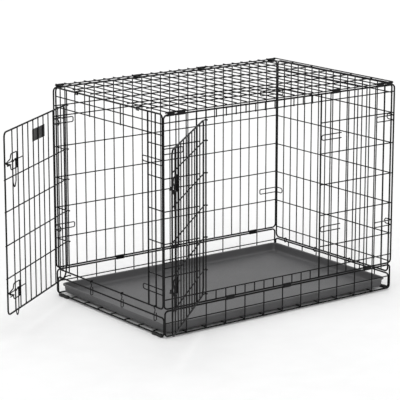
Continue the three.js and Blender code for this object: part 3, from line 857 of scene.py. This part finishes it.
MATERIALS = {
    "wire_coat": surface("wire_coat", dark=(0.003, 0.003, 0.0032), light=(0.008, 0.008, 0.0083),
                         rough=(0.32, 0.5), grain=1400, bump=0.00012, colour_scale=30, specular=0.12),
    "clip_steel": surface("clip_steel", dark=(0.003, 0.003, 0.0033), light=(0.008, 0.008, 0.0085),
                          rough=(0.34, 0.52), grain=1900, bump=0.00008, colour_scale=60, specular=0.15),
    "pan_plastic": surface("pan_plastic", dark=(0.088, 0.088, 0.09), light=(0.108, 0.108, 0.111),
                           rough=(0.4, 0.54), grain=900, bump=0.00025, colour_scale=6),
    "foot_rubber": surface("foot_rubber", dark=(0.012, 0.012, 0.012), light=(0.022, 0.022, 0.022),
                           rough=(0.7, 0.85), grain=1600, bump=0.0002, colour_scale=40),
    "plate_plastic": surface("plate_plastic", dark=(0.03, 0.03, 0.031), light=(0.042, 0.042, 0.044),
                             rough=(0.36, 0.5), grain=1300, bump=0.0001, colour_scale=40),
}

BODY_OF = {node: body for body, nodes in frame["record"]["behaviour"]["bodies"].items() for node in nodes}


def stand_for(node, piece, finish):
    """piece takes the place of a CAD node: its body and its material."""
    piece.data.materials.clear()
    piece.data.materials.append(MATERIALS[finish])
    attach(piece, BODY_OF[node])
    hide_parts(node)


def put(node, shell, place=None, finish="wire_coat", sharp=None):
    piece = shell.build(node + "_look", place)
    if sharp:
        piece.data.set_sharp_from_angle(angle=math.radians(sharp))
    stand_for(node, piece, finish)


def build_crate():
    put("base_basket", base_basket())
    put("front_side_panel", front_side(), FRONT)
    put("back_side_panel", back_side(), BACK)
    put("top_panel", top_grille(), TOP)
    put("left_end_panel", left_end(), LEFT)
    put("right_end_panel", right_end(), RIGHT)
    for depth, sy in (("front", -1), ("back", 1)):
        for end, sx in (("left", -1), ("right", 1)):
            place = moved(sx * END_X, sy * FOOT["y"], 0)
            put(f"foot_{depth}_{end}", foot(), place, "foot_rubber", FOOT["crease"])
    stand_for("floor_pan", floor_pan(), "pan_plastic")


def add_clips(prefix, bays, y, z, reach, seam):
    for i, bay in enumerate(bays):
        length = CLIP["length"] if bay in (0, BAYS - 1) else CLIP["long"]
        place = moved(column(bay + 0.5), y, z)
        put(f"{prefix}_{i + 1}", hinge_clip(reach, length, seam), place, "clip_steel", CLIP["crease"])


def build_hinges():
    upper = TOP_Z - TOP_RAIL_DROP - SIDE_TOP_Z
    add_clips("front_top_clip", UPPER_FRONT_BAYS, -SIDE_Y, SIDE_TOP_Z, upper, 1)
    add_clips("back_top_clip", UPPER_BACK_BAYS, SIDE_Y, SIDE_TOP_Z, upper, -1)
    add_clips("front_base_clip", LOWER_BAYS, -SIDE_Y, BASE_RAIL_Z, HINGE_STEP, 1)
    add_clips("back_base_clip", LOWER_BAYS, SIDE_Y, BASE_RAIL_Z, HINGE_STEP, -1)
    for i, y in enumerate(HINGE_HOOK["at"]):
        put(f"left_end_hinge_hook_{i + 1}", end_hinge_hook(), moved(-END_X, y, LEFT_AXIS_Z))
    for i, y in enumerate(RIGHT_LOOPS_Y):
        put(f"right_end_hinge_loop_{i + 1}", wire_loop(), moved(END_X, y, RIGHT_AXIS_Z))


def build_corner_hooks():
    y = CORNER_HOOK["y"]
    corner = CORNER_HOOK["corner"]
    plane = CORNER_HOOK["plane"]
    for level in ("upper", "lower"):
        raised = moved(0, 0, CORNER_HOOK[level])
        put(f"left_end_hook_{level}", hasp(-y, -corner, plane), LEFT @ raised)
        for side, s in (("front", -1), ("back", 1)):
            put(f"right_end_hook_{side}_{level}", hasp(s * y, s * corner, plane), RIGHT @ raised)


def build_doors():
    side_post = hinge_post(SIDE_SILL_Z, SIDE_HEADER_Z)
    put("side_door_hinge_post", side_post, moved(column(HINGE_COLUMN), -SIDE_Y, 0))
    end_post = hinge_post(LEFT_RAIL_Z, END_HEADER_Z)
    put("end_door_hinge_post", end_post, moved(-END_X, END_HINGE_Y, 0))
    for name, door, leaf, wall in (("side_door", SIDE_DOOR, SIDE_LEAF, FRONT),
                                   ("end_door", END_DOOR, END_LEAF, LEFT)):
        put(name, door_leaf(door), leaf)
        for i, z in enumerate(door["bolts"]):
            at = leaf @ moved(0, 0, z)
            put(f"{name}_bracket_{i + 1}", latch_bracket(), at)
            put(f"{name}_bolt_{i + 1}", bolt_rod(door), at)
            put(f"{name}_handle_{i + 1}", bolt_handle(), leaf @ moved(HANDLE["at"], BOLT_Y, z))
            put(f"{name}_keeper_{i + 1}", hasp(*door["keeper"], KEEPER["y"]), wall @ moved(0, 0, z))
    put("blank_plate", blank_plate(), END_LEAF, "plate_plastic", PLATE["crease"])


# ---- studio ----
def make_floor():
    half = FLOOR_HALF
    z = cad_box[0].z
    mesh = bpy.data.meshes.new("studio_floor")
    mesh.from_pydata([(-half, -half, z), (half, -half, z), (half, half, z), (-half, half, z)], [],
                     [(0, 1, 2, 3)])
    floor = bpy.data.objects.new("studio_floor", mesh)
    bpy.context.scene.collection.objects.link(floor)
    mesh.materials.append(surface("studio_floor", dark=(0.93, 0.93, 0.93), light=(0.96, 0.96, 0.96),
                                  rough=(0.7, 0.8), grain=40, bump=0.0001, colour_scale=2, specular=0.1))


def make_sun(name, direction, angle, strength):
    """A very wide, soft sun: it lights the whole floor evenly."""
    data = bpy.data.lights.new(name, "SUN")
    data.angle = math.radians(angle)
    data.energy = strength
    light = bpy.data.objects.new(name, data)
    light.rotation_euler = Vector(direction).to_track_quat("Z", "Y").to_euler()
    bpy.context.scene.collection.objects.link(light)


def make_studio():
    make_floor()
    make_sun("key", **KEY_SUN)
    make_sun("back", **BACK_SUN)
    world = bpy.data.worlds.new("studio")
    world.use_nodes = True
    world.node_tree.nodes["Background"].inputs["Color"].default_value = (1, 1, 1, 1)
    world.node_tree.nodes["Background"].inputs["Strength"].default_value = WORLD_STRENGTH
    bpy.context.scene.world = world
    bpy.context.scene.view_settings.view_transform = "Standard"


def make_camera():
    a = math.radians(CAMERA["azimuth"])
    e = math.radians(CAMERA["elevation"])
    back = Vector((math.sin(a) * math.cos(e), -math.cos(a) * math.cos(e), math.sin(e)))
    right = Vector((math.cos(a), math.sin(a), 0))
    up = back.cross(right)
    aim = Vector((0, 0, CAMERA["aim_height"])) + right * CAMERA["aim_right"] + up * CAMERA["aim_up"]
    data = bpy.data.cameras.new("camera")
    data.lens = CAMERA["focal"]
    data.sensor_width = CAMERA["sensor"]
    data.clip_end = CAMERA["clip_end"]
    camera = bpy.data.objects.new("camera", data)
    turn = Matrix((right, up, back)).transposed().to_4x4()
    camera.matrix_world = Matrix.Translation(aim + back * CAMERA["distance"]) @ turn
    bpy.context.scene.collection.objects.link(camera)
    bpy.context.scene.camera = camera


build_crate()
build_hinges()
build_corner_hooks()
build_doors()
make_studio()
make_camera()
